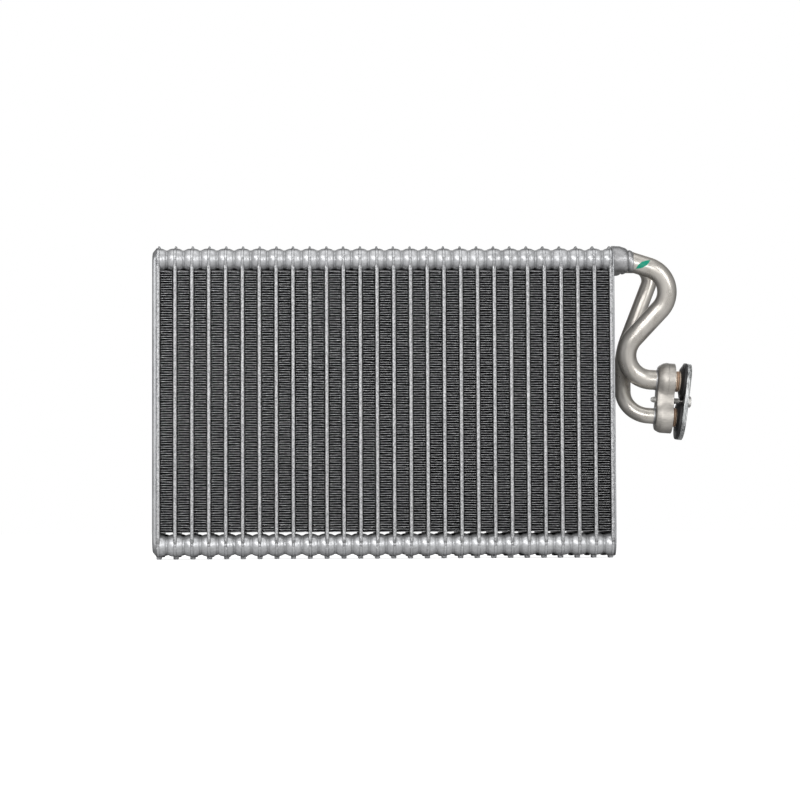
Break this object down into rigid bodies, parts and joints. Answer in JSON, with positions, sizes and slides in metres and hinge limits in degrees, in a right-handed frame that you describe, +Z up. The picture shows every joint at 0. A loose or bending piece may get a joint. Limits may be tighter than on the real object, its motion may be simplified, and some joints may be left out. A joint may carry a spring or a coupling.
{
  "type": "evaporator core",
  "caption": "Brazed evaporator core: flat plate tubes with folded fins between barrel-shaped headers, bent pipes at one end and a port block under a screwed transport cover.",
  "frame": {"origin": "on the plane of the lower lugs' tips, under the middle of the whole part's bounding box", "axes": "+X along the row of tubes, towards the pipes; +Y from the front face to the rear face; +Z up, from the lower to the upper header"},
  "size_m": [0.4302, 0.09, 0.2481],
  "materials": {
    "tube": "brazed, matt with fine grain",
    "fin": "thin rolled sheet, satin",
    "end_plate": "brazed, matt",
    "adapter": "turned, satin",
    "pipe": "drawn, satin",
    "block": "machined, satin",
    "seal_ring": "smooth, slightly glossy",
    "seal_pad": "smooth, matt",
    "cover_plate": "brushed across its edge",
    "cover_screw": "zinc plated, satin"
  },
  "bodies": {
    "root": {"tube_01": "tube", "tube_02": "tube", "tube_03": "tube", "tube_04": "tube", "tube_05": "tube", "tube_06": "tube", "tube_07": "tube", "tube_08": "tube", "tube_09": "tube", "tube_10": "tube", "tube_11": "tube", "tube_12": "tube", "tube_13": "tube", "tube_14": "tube", "tube_15": "tube", "tube_16": "tube", "tube_17": "tube", "tube_18": "tube", "tube_19": "tube", "tube_20": "tube", "tube_21": "tube", "tube_22": "tube", "tube_23": "tube", "tube_24": "tube", "tube_25": "tube", "tube_26": "tube", "tube_27": "tube", "tube_28": "tube", "fin_pair_01": "fin", "fin_pair_02": "fin", "fin_pair_03": "fin", "fin_pair_04": "fin", "fin_pair_05": "fin", "fin_pair_06": "fin", "fin_pair_07": "fin", "fin_pair_08": "fin", "fin_pair_09": "fin", "fin_pair_10": "fin", "fin_pair_11": "fin", "fin_pair_12": "fin", "fin_pair_13": "fin", "fin_pair_14": "fin", "end_plate_left": "end_plate", "end_plate_right": "end_plate", "suction_adapter": "adapter", "liquid_adapter": "adapter", "suction_pipe": "pipe", "liquid_pipe": "pipe", "connection_block": "block", "suction_seal_ring": "seal_ring", "liquid_seal_ring": "seal_ring", "seal_pad": "seal_pad", "cover_plate": "cover_plate", "cover_screw": "cover_screw"}
  },
  "joints": []
}
